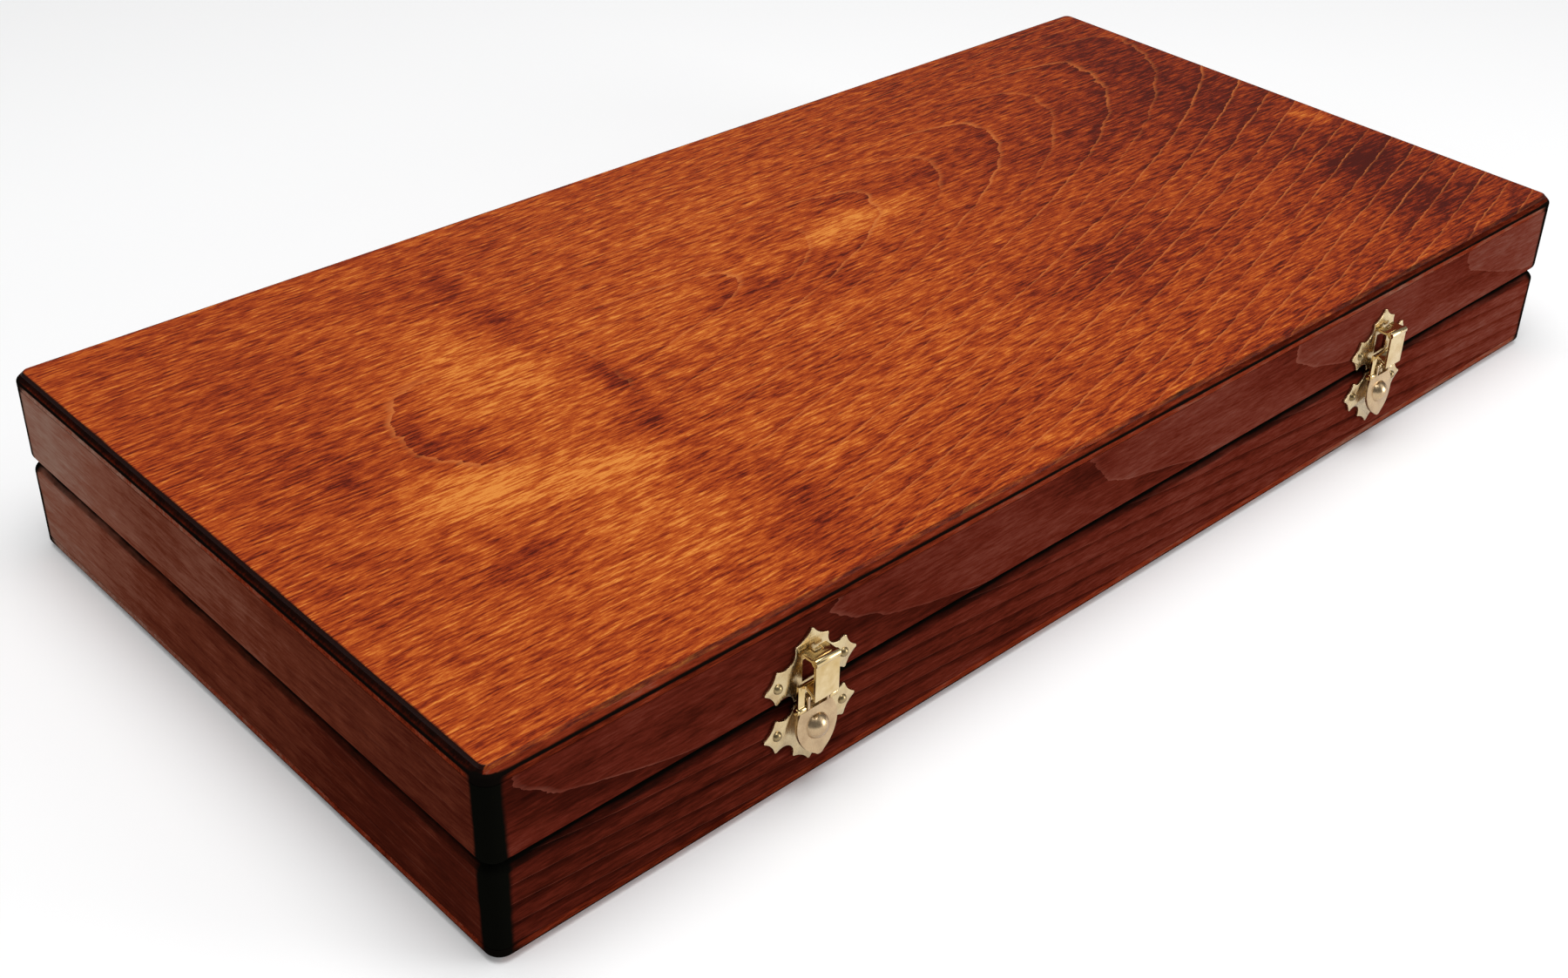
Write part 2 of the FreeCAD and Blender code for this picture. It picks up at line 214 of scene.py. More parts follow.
def finish_material(tree, **sockets):
    """Ends a node tree in one principled shader with these sockets; an underscore stands for a space."""
    inputs = {name.replace("_", " "): value for name, value in sockets.items()}
    shader = node(tree, "ShaderNodeBsdfPrincipled", inputs)
    node(tree, "ShaderNodeOutputMaterial", {"Surface": shader.outputs[0]})


def wood_layers(tree, along):
    """Three layers of noise in the piece's own place: fibre flecks and long bands drawn out along the grain,
    and blotches. Each size is in millimetres along x, y and z. A fleck is 0.2 mm wide in the wood and is
    drawn 0.7 mm wide to show."""
    spot = node(tree, "ShaderNodeTexCoord").outputs["Object"]
    fleck, band, blotch = (6, 0.7, 0.7), (48, 5, 5), (20, 13, 13)
    if along == "y":
        fleck, band = (0.7, 6, 0.7), (5, 48, 5)
    layers = []
    for size, start, detail, roughness in (
        (fleck, (0, 0, 0), 4.0, 0.7),
        (band, (3.1, 1.7, 0.4), 3.0, 0.6),
        (blotch, (0, 0, 0), 5.0, 0.62),
    ):
        scale = [1 / (length * MM) for length in size]
        at = node(tree, "ShaderNodeMapping", {"Vector": spot, "Scale": scale, "Location": start})
        settings = {"Vector": at.outputs[0], "Scale": 1.0, "Detail": detail, "Roughness": roughness}
        layers.append(node(tree, "ShaderNodeTexNoise", settings).outputs[0])
    return layers


def growth_lines(tree, rings, strength, layers, wander, fine, gap):
    """Growth lines at every whole ring count, after each noise layer has shaken the count by its share of
    wander. Gives the thin pale line, which is as wide as fine and fades to gap where the blotches are low,
    and the late wood that deepens before it."""
    for source, amount in zip(layers, wander):
        shaken = {0: source, 1: amount, 2: rings}
        rings = node(tree, "ShaderNodeMath", shaken, operation="MULTIPLY_ADD").outputs[0]
    phase = node(tree, "ShaderNodeMath", {0: rings}, operation="FRACT").outputs[0]
    span = {"Value": layers[1], "From Min": 0.4, "From Max": 0.58, "To Min": gap}
    broken = node(tree, "ShaderNodeMapRange", span).outputs[0]
    span = {"Value": phase, "From Min": 0.0, "From Max": fine, "To Min": 1.0, "To Max": 0.0}
    pale = node(tree, "ShaderNodeMapRange", span).outputs[0]
    for factor in (broken, strength):
        pale = node(tree, "ShaderNodeMath", {0: pale, 1: factor}, operation="MULTIPLY").outputs[0]
    span = {"Value": phase, "From Min": 0.55, "From Max": 1.0}
    deep = node(tree, "ShaderNodeMapRange", span, interpolation_type="SMOOTHSTEP").outputs[0]
    deep = node(tree, "ShaderNodeMath", {0: deep, 1: strength}, operation="MULTIPLY").outputs[0]
    return pale, deep


def stained_wood(name, tones, streak, mottle, gleam, line=None, dark=None, along="x", ring=0.3, late=0.2,
                 rough=0.36, fine=0.085, wander=(0.16, 0.0, 0.05), gap=0.25):
    """Rotary-cut beech under dark stain and satin lacquer, sprayed: the eye gets short fibre flecks along
    the grain and blotches where the stain sank in. With line and dark, it also gets the piece's painted
    figure: thin pale growth lines with darker wood before them, and near-black edges from the shade
    attribute, which holds the sprayed dark finish and also painted shade in the seam's gap and along the
    playing field's rim. streak, mottle, ring and late say how strongly the flecks, the blotches, the pale
    lines and the darker wood show."""
    made, tree = empty_material(name)
    fibre, band, blotch = wood_layers(tree, along)
    tone = 0.5
    if line:
        figure = node(tree, "ShaderNodeAttribute", attribute_name="figure").outputs["Vector"]
        rings, tone, strength = node(tree, "ShaderNodeSeparateXYZ", {0: figure}).outputs
    for source, amount in ((fibre, streak), (band, mottle), (blotch, mottle * 0.9)):
        swing = node(tree, "ShaderNodeMath", {0: source, 1: 0.5}, operation="SUBTRACT").outputs[0]
        swung = {0: swing, 1: amount, 2: tone}
        tone = node(tree, "ShaderNodeMath", swung, operation="MULTIPLY_ADD").outputs[0]
    if line:
        pale, deep = growth_lines(tree, rings, strength, (band, blotch, fibre), wander, fine, gap)
        deepened = {0: deep, 1: -late, 2: tone}
        tone = node(tree, "ShaderNodeMath", deepened, operation="MULTIPLY_ADD").outputs[0]
    shown = stops(node(tree, "ShaderNodeValToRGB", {"Fac": tone}), tones)
    if line:
        share = node(tree, "ShaderNodeMath", {0: pale, 1: ring}, operation="MULTIPLY", use_clamp=True)
        lined = {0: share.outputs[0], 6: shown, 7: colour(line)}
        shown = node(tree, "ShaderNodeMix", lined, data_type="RGBA").outputs[2]
        shade = node(tree, "ShaderNodeAttribute", attribute_name="shade").outputs["Fac"]
        # sprayed dark edges and painted shade from the shade attribute, roughened by the blotches
        dark_spray_and_shade = node(tree, "ShaderNodeMath", {0: blotch, 1: 0.5}, operation="SUBTRACT").outputs[0]
        dark_spray_and_shade = node(tree, "ShaderNodeMath", {0: dark_spray_and_shade, 1: 0.7, 2: shade}, operation="MULTIPLY_ADD").outputs[0]
        span = {"Value": dark_spray_and_shade, "From Min": 0.25, "From Max": 0.75}
        dark_spray_and_shade = node(tree, "ShaderNodeMapRange", span, interpolation_type="SMOOTHSTEP").outputs[0]
        shown = node(tree, "ShaderNodeMix", {0: dark_spray_and_shade, 6: shown, 7: colour(dark)}, data_type="RGBA").outputs[2]
    span = {"Value": fibre, "From Min": 0.3, "From Max": 0.7, "To Min": rough - 0.04, "To Max": rough + 0.08}
    gloss = node(tree, "ShaderNodeMapRange", span).outputs[0]
    bump = node(tree, "ShaderNodeBump", {"Height": fibre, "Strength": 0.12, "Distance": 0.0002}).outputs[0]
    finish_material(tree, Base_Color=shown, Roughness=gloss, IOR=1.5, Specular_IOR_Level=gleam, Normal=bump)
    return made


def brass(name, base, tarnish, rough):
    """Brass-plated steel, pressed and barrel-polished: the eye gets a pale gold mirror softened by fine
    scratches, with slightly browner patches where the plating has dulled. The patches are about 4 mm wide;
    the scratches, finer than 0.1 mm on the metal, are drawn 0.4 mm wide and 2 mm long to show."""
    made, tree = empty_material(name)
    spot = node(tree, "ShaderNodeTexCoord").outputs["Object"]
    cloud = {"Vector": spot, "Scale": 260.0, "Detail": 3.0, "Roughness": 0.55}
    cloud = node(tree, "ShaderNodeTexNoise", cloud).outputs[0]
    patch = {"Value": cloud, "From Min": 0.42, "From Max": 0.72}
    patch = node(tree, "ShaderNodeMapRange", patch).outputs[0]
    mixed = {0: patch, 6: colour(base), 7: colour(tarnish)}
    shown = node(tree, "ShaderNodeMix", mixed, data_type="RGBA").outputs[2]
    drawn = {"Vector": spot, "Scale": (2600, 2600, 500), "Rotation": (0.3, 0.5, 0.2)}
    drawn = node(tree, "ShaderNodeMapping", drawn).outputs[0]
    scratch = node(tree, "ShaderNodeTexNoise", {"Vector": drawn, "Scale": 1.0, "Detail": 2.0}).outputs[0]
    span = {"Value": scratch, "From Min": 0.3, "From Max": 0.7, "To Min": rough, "To Max": rough + 0.1}
    gloss = node(tree, "ShaderNodeMapRange", span).outputs[0]
    bump = node(tree, "ShaderNodeBump", {"Height": scratch, "Strength": 0.015, "Distance": 0.0001}).outputs[0]
    finish_material(tree, Base_Color=shown, Metallic=1.0, Roughness=gloss, Normal=bump)
    return made


def moulded(name, base, flecks, rough, pip=None):
    """Urea resin, compression-moulded and tumbled: the eye gets an even, slightly cloudy body with a soft
    gloss, and where pip is given, matt paint in the drilled spots. The clouds are about 4 mm wide."""
    made, tree = empty_material(name)
    spot = node(tree, "ShaderNodeTexCoord").outputs["Object"]
    cloud = {"Vector": spot, "Scale": 220.0, "Detail": 4.0, "Roughness": 0.6, "Distortion": 0.8}
    cloud = node(tree, "ShaderNodeTexNoise", cloud).outputs[0]
    shown = stops(node(tree, "ShaderNodeValToRGB", {"Fac": cloud}), [(0.35, flecks), (0.6, base)])
    span = {"Value": cloud, "To Min": rough - 0.05, "To Max": rough + 0.08}
    gloss = node(tree, "ShaderNodeMapRange", span).outputs[0]
    if pip:
        mask = node(tree, "ShaderNodeAttribute", attribute_name="pip").outputs["Fac"]
        shown = node(tree, "ShaderNodeMix", {0: mask, 6: shown, 7: colour(pip)}, data_type="RGBA").outputs[2]
        gloss = node(tree, "ShaderNodeMath", {0: mask, 1: 0.25, 2: gloss}, operation="MULTIPLY_ADD").outputs[0]
    finish_material(tree, Base_Color=shown, Roughness=gloss, IOR=1.5)
    return made


# ---- the case's woods: tones run from where the stain sank in to where it was rubbed off; on the walls and rims the tone also climbs to a ramp's greyish top as a painted reflection ----
TOP_TONES = [(0.0, "#4c140a"), (0.22, "#7a2610"), (0.42, "#9a3a13"), (0.6, "#b04c1a"), (0.78, "#c66424"),
             (1.0, "#e08a3c")]
FRONT_TONES = [(0.0, "#1e0805"), (0.3, "#40140c"), (0.5, "#5b2015"), (0.7, "#6b3125"), (1.0, "#7a4d42")]
END_TONES = [(0.0, "#200906"), (0.3, "#481a10"), (0.5, "#652f1f"), (0.7, "#804e3e"), (1.0, "#967769")]
EDGE_TONES = [(0.0, "#1c0805"), (0.3, "#451409"), (0.56, "#7a2d18"), (0.72, "#7e4a39"), (1.0, "#967769")]
FIELD_TONES = [(0.0, "#4e2a14"), (0.35, "#744420"), (0.6, "#8e5a2e"), (1.0, "#b58348")]
MAPLE_TONES = [(0.0, "#b98a53"), (0.5, "#dab883"), (1.0, "#ecd3a4")]
WENGE_TONES = [(0.0, "#1c0d08"), (0.5, "#331a10"), (1.0, "#522c1c")]
PALE_TONES = [(0.0, "#a8753f"), (0.5, "#cf9f63"), (1.0, "#e6c08a")]
DARK_TONES = [(0.0, "#1c0a07"), (0.5, "#38170f"), (1.0, "#5a2a1b")]
top_veneer = stained_wood("amber_stained_beech_veneer", TOP_TONES, streak=2.5, mottle=0.34, gleam=0.08,
                          line="#c66e36", dark="#1c0805", ring=1.0, late=0.14, fine=0.08,
                          wander=(0.22, 0.26, 0.08), gap=0.3)
side_x = stained_wood("mahogany_stained_beech", FRONT_TONES, streak=0.8, mottle=0.4, gleam=0.0,
                      line="#80483a", dark="#0b0b08", ring=0.7, fine=0.022, wander=(0.1, 0.06, 0.012))
side_y = stained_wood("mahogany_stained_beech_end", END_TONES, streak=0.5, mottle=0.3, gleam=0.0,
                      line="#8a5a4a", dark="#0b0b08", along="y", late=0.12)
edge_wood = stained_wood("sprayed_plywood_edge", EDGE_TONES, streak=0.8, mottle=0.5, gleam=0.0,
                         line="#8a5a4a", dark="#0d0a08", ring=0.0, late=0.0)
field_veneer = stained_wood("walnut_brown_field_veneer", FIELD_TONES, streak=1.6, mottle=0.5, gleam=0.1,
                            line="#a8743c", dark="#2a150b", ring=0.5, late=0.12)
pale_inlay = stained_wood("maple_inlay", MAPLE_TONES, streak=0.9, mottle=0.4, gleam=0.1, rough=0.4)
dark_inlay = stained_wood("wenge_inlay", WENGE_TONES, streak=0.9, mottle=0.4, gleam=0.1, rough=0.4)
pale_turned = stained_wood("lacquered_beech", PALE_TONES, streak=0.7, mottle=0.3, gleam=0.3, rough=0.3)
dark_turned = stained_wood("dark_stained_beech", DARK_TONES, streak=0.7, mottle=0.3, gleam=0.3, rough=0.3)
plate_brass = brass("polished_brass_plate", "#cfbb92", "#b99f74", 0.2)
lever_brass = brass("rubbed_brass_lever", "#c2a884", "#ab9070", 0.24)
bright_brass = brass("bright_brass_band", "#dcc596", "#c8aa70", 0.12)
nail_brass = brass("dulled_brass_nail", "#a08c66", "#6a5738", 0.28)
hinge_brass = brass("dull_brass_hinge", "#c9ab66", "#a98a4c", 0.3)
ivory_resin = moulded("ivory_urea_resin", "#efe8d6", "#e4dac2", 0.25)
ivory_die = moulded("ivory_spotted_resin", "#efe8d6", "#e4dac2", 0.25, pip="#181310")
brown_die = moulded("brown_spotted_resin", "#4a2115", "#38180f", 0.25, pip="#efe6cf")
black_paint = moulded("black_filling_paint", "#151210", "#1d1916", 0.45)


# ------------------------------------------------------------ grain figure
def blobs(x, y, spots):
    """Sum of soft ellipses: each is strength times exp(-(dx/rx)^2 - (dy/ry)^2)."""
    total = np.zeros_like(x)
    for cx, cy, rx, ry, strength in spots:
        total += strength * np.exp(-(((x - cx) / rx) ** 2) - ((y - cy) / ry) ** 2)
    return total


def loops(x, y):
    """Growth lines of a veneer that was peeled across a knot: nested parabolas that open toward the left,
    counted by u. Each has its nose at (107 + u, 52 + rise u) and the radius there is radius + wider u; its
    equation, (y - nose y) squared = 2 (radius there) (nose x - x), is solved for u as a quadratic. Above the
    noses the lines run back almost level."""
    rise, radius, wider = 0.22, 19.0, 0.11
    a, b = x - 107, y - 52
    square = 2 * wider - rise**2
    linear = 2 * radius - 2 * wider * a + 2 * rise * b
    rest = 2 * radius * a + b**2
    low = (-linear + np.sqrt(np.maximum(linear**2 + 4 * square * rest, 0))) / (2 * square)
    high = a + (b - rise * a) ** 2 / 9.0
    return np.where(b > rise * a, high, low)


# Where the lid's stain is paler (+) or darker (-): x, y, reach along x, reach along y, strength.
TOP_SPOTS = [
    # the bright patches left of the middle, at the middle, and round them
    (-145, -20, 20, 9, 0.30), (-118, -32, 22, 8, 0.22), (-112, 22, 22, 34, 0.16), (22, 26, 24, 6, 0.30),
    (-60, 16, 34, 26, 0.08), (-120, -62, 40, 16, 0.12), (-10, -12, 26, 5, 0.10), (0, 62, 70, 20, 0.06),
    (-185, 20, 14, 60, -0.04), (-40, -45, 80, 14, 0.06),
    # the dark band that runs across the lid
    (-94, 40, 6, 22, -0.17), (-89, 2, 5, 13, -0.26), (-96, -22, 6, 7, -0.26), (-96, -44, 10, 10, -0.12),
    (-90, -64, 9, 12, -0.18), (-96, -86, 10, 12, -0.14), (-100, 70, 12, 16, -0.08),
    # the left end, and two small ones near the middle
    (-139, 8, 13, 16, -0.10), (-165, 2, 7, 24, -0.12), (-150, -50, 12, 10, -0.14), (-160, 60, 26, 22, -0.06),
    (-34, 14, 20, 5, -0.12), (-5, 6, 6, 14, -0.12),
    # the right end
    (60, -42, 34, 14, -0.16), (52, 34, 30, 10, -0.10), (176, -46, 16, 10, -0.30), (165, -72, 18, 12, -0.22),
    (140, 25, 60, 30, -0.10), (190, -14, 7, 8, 0.24), (182, 60, 18, 40, -0.10), (176, -6, 22, 56, -0.08),
    (100, -74, 60, 16, 0.04), (60, 80, 60, 14, -0.03),
]


def top_figure(x, y):
    """Lid veneer: loops on the right, 32 mm apart and every other one faint until they close up at the end,
    one line of an oval eye on the left, and a tone that falls toward the right end and, on the right half,
    toward the front: painted shade, darker where less light falls on the lid."""
    eye = np.hypot((x + 128) / 24, (y - 8) / 30)
    on_right = eased(x, -92, -76)
    count = loops(x, y) / 32.0 + 40
    line = np.round(count)
    heavy = np.where((line % 2 == 0) | (line > 43), 1.0, 0.5)
    rings = np.where(on_right > 0.5, count, eye + 20)
    strength = on_right * heavy + (1 - on_right) * 0.9 * (np.round(eye) == 1) * eased(-x, 116, 136)
    # painted shade: the lid darkens toward the right end and, on its right half, toward the front
    fall = -0.15 * eased(x, 10, 190) - 0.05 * eased(-y, 40, 100) * eased(x, -60, 60)
    tone = 0.50 + fall + 1.5 * blobs(x, y, TOP_SPOTS)
    return rings, tone, strength


def under_figure(x, y):
    """Underside veneer: the same kind of loops turned the other way, and with them the lid's painted shade,
    turned and weakened.
    """
    rings, tone, strength = top_figure(-x * 0.9 + 12, -y * 0.8 - 8)
    return rings + 0.37, 0.44 + 0.4 * (tone - 0.5), strength * 0.8


def from_edge(x, y):
    """How far a point lies inside the case's rounded plan outline."""
    past_x, past_y = np.abs(x) - HALF_LONG + UPRIGHT, np.abs(y) - HALF_WIDE + UPRIGHT
    corner = np.hypot(np.maximum(past_x, 0), np.maximum(past_y, 0))
    straight = np.minimum(HALF_LONG - np.abs(x), HALF_WIDE - np.abs(y))
    return np.where(corner > 0, UPRIGHT - corner, straight)


def on_upright(x, y):
    """1 on the rounded uprights at the four corners, 0 on the straight walls."""
    return eased(np.minimum(np.abs(x) - (HALF_LONG - UPRIGHT), np.abs(y) - (HALF_WIDE - UPRIGHT)), -0.4, 0.2)


def on_ends(x, y):
    """True nearer to the two short sides than to the long ones."""
    return (np.abs(x) - HALF_LONG) > (np.abs(y) - HALF_WIDE)


def veneer_shade(x, y):
    """Darker spray on the chamfer that fades a millimetre in from the arris, deepest on the ends; the front's
    chamfer keeps only half of it, a painted highlight where it catches the light.
    """
    inside = from_edge(x, y)
    # painted highlight: the front's chamfer is half as dark as the ends'
    slope = np.where(inside < BEVEL - 0.03, np.where(on_ends(x, y), 1.0, 0.5), 0.0)
    return np.maximum(0.55 * (1 - eased(inside, BEVEL, BEVEL + 0.9)), slope)


def edge_paint(x, y, away):
    """Panel rim: the chamfer is reddish on the front, a painted highlight that is brightest near the left
    corner, and near black on the ends; the strip below it follows the walls, with their painted reflection
    lightening it to the right and, on the left end, to the back; a black line runs along the chamfer's lower
    arris. away is the height in from the outer face."""
    ends = on_ends(x, y)
    slope = 1 - eased(away, 1.2, BEVEL + 0.1)
    # painted reflection: the strip lightens to the right on the long sides and to the back on the left end
    flat = np.where(ends, 0.45, 0.42 + 0.25 * eased(x, -150, 180))
    flat = np.where(ends & (x < 0), 0.5 + 0.35 * eased(y, -60, 95), flat)
    # painted highlight: on the front the chamfer is reddish, brightest near the left corner
    tone = flat + slope * (np.where(ends, 0.04, 0.56 - 0.34 * eased(x, -170, 120)) - flat)
    line = 0.95 * bell(away, BEVEL, 0.5)
    shade = np.maximum(np.maximum(line, 0.55 * slope * ends), on_upright(x, y) * eased(away, 1.0, 1.6))
    nothing = np.zeros_like(x)
    return (nothing, tone, nothing), shade


# -------------------------------------------------------------- case panels
def side_path(half, spacing):
    """One side of a rounded rectangle seen along its middle line: half of one corner's arc, the straight,
    half of the next arc. Gives how far each point is along the straight, from -1 to 1, and its outward
    normal."""
    straight = np.linspace(-1, 1, int(2 * half / spacing))
    arc = np.radians(np.linspace(-135, -90, QUARTER + 1))[:-1]
    angle = np.concatenate([arc, np.full(len(straight), -np.pi / 2), -np.pi - arc[::-1]])
    share = np.concatenate([np.full(QUARTER, -1.0), straight, np.full(QUARTER, 1.0)])
    return share, np.stack([np.cos(angle), np.sin(angle)], -1)


def side_points(half, other, share, normal, inset):
    """Plan position for each inset (rows) and path point (columns): inside the corner radius a point moves
    along its normal, and further in it slides along the mitre."""
    d = inset[:, None]
    out = np.maximum(UPRIGHT - d, 0)
    x = share[None] * (half - np.maximum(d, UPRIGHT)) + out * normal[None, :, 0]
    y = -(other - np.maximum(d, UPRIGHT)) + out * normal[None, :, 1]
    return x, np.broadcast_to(y, x.shape)


def side_lengths(turns):
    """Half the length of the side that faces front after that many quarter turns, and half the other."""
    return (HALF_LONG, HALF_WIDE) if turns % 2 == 0 else (HALF_WIDE, HALF_LONG)


def quarter_turned(x, y, turns):
    """Turns plan positions by that many quarter turns."""
    for _ in range(turns):
        x, y = -y, x
    return x, y


def sheet_piece(name, corners, radii, flip, material, spacing=2.0):
    """Flat sheet: its rim is a rounded profile of (distance in from the outline, height), carried round the
    four sides, and its two faces are plain grids that meet the rim where the profile starts and ends. Those
    two corners stay sharp, so the points that round them are dropped."""
    hold = corners[0][0]
    rim = rounded(corners, [1e-3, *radii, 1e-3])[ARC_STEPS + 1 : -ARC_STEPS - 1]
    rim = refined(np.concatenate([corners[:1], rim, corners[-1:]]), 0.6, closed=False)
    xs, ys, grid = [], [], []
    for turns in range(4):
        half, other = side_lengths(turns)
        share, normal = side_path(half, spacing)
        x, y = side_points(half, other, share, normal, rim[:, 0])
        x, y = quarter_turned(x, y, turns)
        xs.append(x[:, :-1])
        ys.append(y[:, :-1])
        grid.append(np.unique(share) * (half - hold))
    x, y = np.concatenate(xs, 1), np.concatenate(ys, 1)
    z = np.broadcast_to(rim[:, 1:2], x.shape)
    shells = [(np.stack([x, y, z], -1), grid_faces(*x.shape, columns_closed=True))]
    fx, fy = np.meshgrid(grid[0], grid[1], indexing="ij")
    for level in (corners[0][1], corners[-1][1]):
        shells.append((np.stack([fx, fy, np.full_like(fx, level)], -1), grid_faces(*fx.shape)))
    if flip:
        shells = [(points * (1, 1, -1) + (0, 0, TOP), faces) for points, faces in shells]
    return build(name, shells, material)


def wall_shade(x, y, z):
    """Dark shading of a wall: the seam's sprayed chamfer and painted shade in the closed seam's gap, the
    uprights, and a thin line at the panel joint.
    """
    away = np.abs(z - SEAM)
    # sprayed seam chamfer, and painted shade in the closed seam's gap within 0.8 mm of it
    seam_spray_and_gap_shade = 0.48 * (1 - eased(away, BEVEL - 0.4, BEVEL + 0.2)) + 0.5 * (1 - eased(away, 0.2, 0.8))
    joint = 0.3 * (1 - eased(SEAM - PLY - away, 0.1, 0.5))
    outer = 1 - eased(from_edge(x, y), 3.0, 5.0)
    return np.maximum(np.maximum(seam_spray_and_gap_shade, on_upright(x, y)), joint) * outer


def wall_figure(x, y, z, side, lower):
    """Front lid wall: fin-shaped lines that drop steeply from the top and flatten to the right. Front tray
    wall: long lines that sink slowly to the right. The other walls: quiet, nearly level grain. The tone
    rises to the right on the long walls and to the back on the ends, a painted reflection of the greyer
    sheen those faces catch there."""
    away = np.abs(z - SEAM)
    inner = eased(np.minimum(HALF_LONG - np.abs(x), HALF_WIDE - np.abs(y)), 4.0, 6.0)
    strength = 1.0
    if side != "front":
        run = x if side == "back" else y
        rings = (away + 0.012 * run + 3 * np.sin(run / 61.0)) / 7.0 + 70 + (5 if lower else 0)
        strength = 0.35
    elif lower:
        rings = (x - (away - 4) / 0.085 + 330) / 62.0 + 50
    else:
        fin = x - 62 * np.clip((SEAM - PLY - away) / (SEAM - PLY), 0, 1.2) ** 2.2
        rings = (fin + 186) / 86.0 + 30
    # painted reflection: the tone climbs toward the greyer sheen at the right of the long walls and the back
    # of the ends
    if side in ("front", "back"):
        tone = (0.35 if lower else 0.44) + 0.2 * eased(x, -190, 60) + 0.14 * eased(x, 100, 200)
    else:
        tone = (0.27 if lower else 0.38) + 0.2 * eased(y, -80, 20) + 0.3 * eased(y, 20, 98)
    return rings, tone + 0.08 * inner, strength * (1 - 0.7 * inner)


def hinge_recess(share, normal, section, half):
    """Adds the points that a back rail needs for its two hinge recesses: along the path just inside and just
    outside each recess's ends, and in the section at each side of its inner wall. The section is then put in
    order round the rail's middle."""
    edges = [s * HINGE_AT + k * HINGE_HALF + e for s in (-1, 1) for k in (-1, 1) for e in (-0.01, 0.01)]
    edges = np.array(edges) / (half - WALL)
    order = np.argsort(np.concatenate([share, edges]), kind="stable")
    share = np.concatenate([share, edges])[order]
    normal = np.concatenate([normal, np.tile([[0.0, -1.0]], (len(edges), 1))])[order]
    section = np.concatenate([section, [[HINGE_REACH - 0.01, SEAM], [HINGE_REACH + 0.01, SEAM]]])
    round_middle = np.arctan2(section[:, 1] - (PLY + SEAM) / 2, section[:, 0] - WALL / 2)
    return share, normal, section[np.argsort(round_middle, kind="stable")]


def wall_piece(side, lower, spacing=2.0):
    """One mitred rail: its rounded section (outer face, seam chamfer, inner face) carried along one side of
    the case, ending on the mitres. The back rails are lowered under the hinge leaves."""
    turns = ("front", "right", "back", "left").index(side)
    half, other = side_lengths(turns)
    corners = [(0, PLY), (0, SEAM - BEVEL), (BEVEL, SEAM), (WALL, SEAM), (WALL, PLY)]
    section = refined(rounded(corners, [0.35, 0.9, 0.8, 0.5, 0.1]), 0.9)
    section[:, 1] = np.minimum(section[:, 1], SEAM)
    share, normal = side_path(half, spacing)
    if side == "back":
        share, normal, section = hinge_recess(share, normal, section, half)
    x, y = side_points(half, other, share, normal, section[:, 0])
    z = np.broadcast_to(section[:, 1:2], x.shape)
    if side == "back":
        recess = (np.abs(np.abs(x) - HINGE_AT) < HINGE_HALF) & (section[:, 0:1] < HINGE_REACH)
        z = np.where(recess, np.minimum(z, SEAM - HINGE_DEPTH), z)
    x, y = quarter_turned(x, y, turns)
    if not lower:
        z = 2 * SEAM - z
    count, width = x.shape
    faces = grid_faces(count, width, rows_closed=True).tolist()
    ends = [[i * width + at for i in range(count)] for at in (0, width - 1)]
    name = ("lower" if lower else "upper") + "_" + side + "_rail_wood"
    wood = side_x if turns % 2 == 0 else side_y
    obj = build(name, [(np.stack([x, y, z], -1), faces + ends)], wood)
    px, py, pz = (read_points(obj.data) / MM).T
    paint(obj, wall_figure(px, py, pz, side, lower), wall_shade(px, py, pz))
    return obj


# Each panel's sheets, as (distance in from the outline, height above the underside). The edge's sheet holds
# the veneer and the field a hair apart, and ends out of sight behind them.
FIELD_FOOT = PLY - FIELD
VENEER_RIM = [(5, VENEER), (BEVEL - VENEER, VENEER), (BEVEL, 0), (5, 0)]
EDGE_RIM = [(6, FIELD_FOOT - HAIR), (3, FIELD_FOOT - HAIR), (3, PLY - HAIR), (0, PLY - HAIR), (0, BEVEL),
            (BEVEL - VENEER - HAIR, VENEER + HAIR), (6, VENEER + HAIR)]
FIELD_RIM = [(10, FIELD_FOOT), (WALL - 1, FIELD_FOOT), (WALL - 1, PLY - HAIR), (10, PLY - HAIR)]

for tray, lower, body in (("lower", True, "base"), ("upper", False, "lid")):
    panel = tray + "_panel"
    skin = sheet_piece(panel + "_veneer", VENEER_RIM, [0.05, 0.2], not lower, top_veneer)
    px, py, pz = (read_points(skin.data) / MM).T
    paint(skin, under_figure(px, py) if lower else top_figure(px, py), veneer_shade(px, py))
    place(skin, body, panel)
    core = sheet_piece(panel + "_edge", EDGE_RIM, [0.1, 0.1, 0.3, 0.5, 0.05], not lower, edge_wood, 5.0)
    px, py, pz = (read_points(core.data) / MM).T
    paint(core, *edge_paint(px, py, pz if lower else TOP - pz))
    place(core, body, panel)
    field = sheet_piece(tray + "_playing_field", FIELD_RIM, [0.05, 0.05], not lower, field_veneer)
    px, py, pz = (read_points(field.data) / MM).T
    rings, tone, strength = under_figure(px if lower else -px, py)
    # painted shade along the playing field's rim, where it meets the rails
    paint(field, (rings, tone + 0.04, strength), 0.75 * (1 - eased(from_edge(px, py), WALL, WALL + 1.6)))
    place(field, body, panel)
    for side in ("front", "back", "left", "right"):
        place(wall_piece(side, lower), body, tray + "_" + side + "_rail")


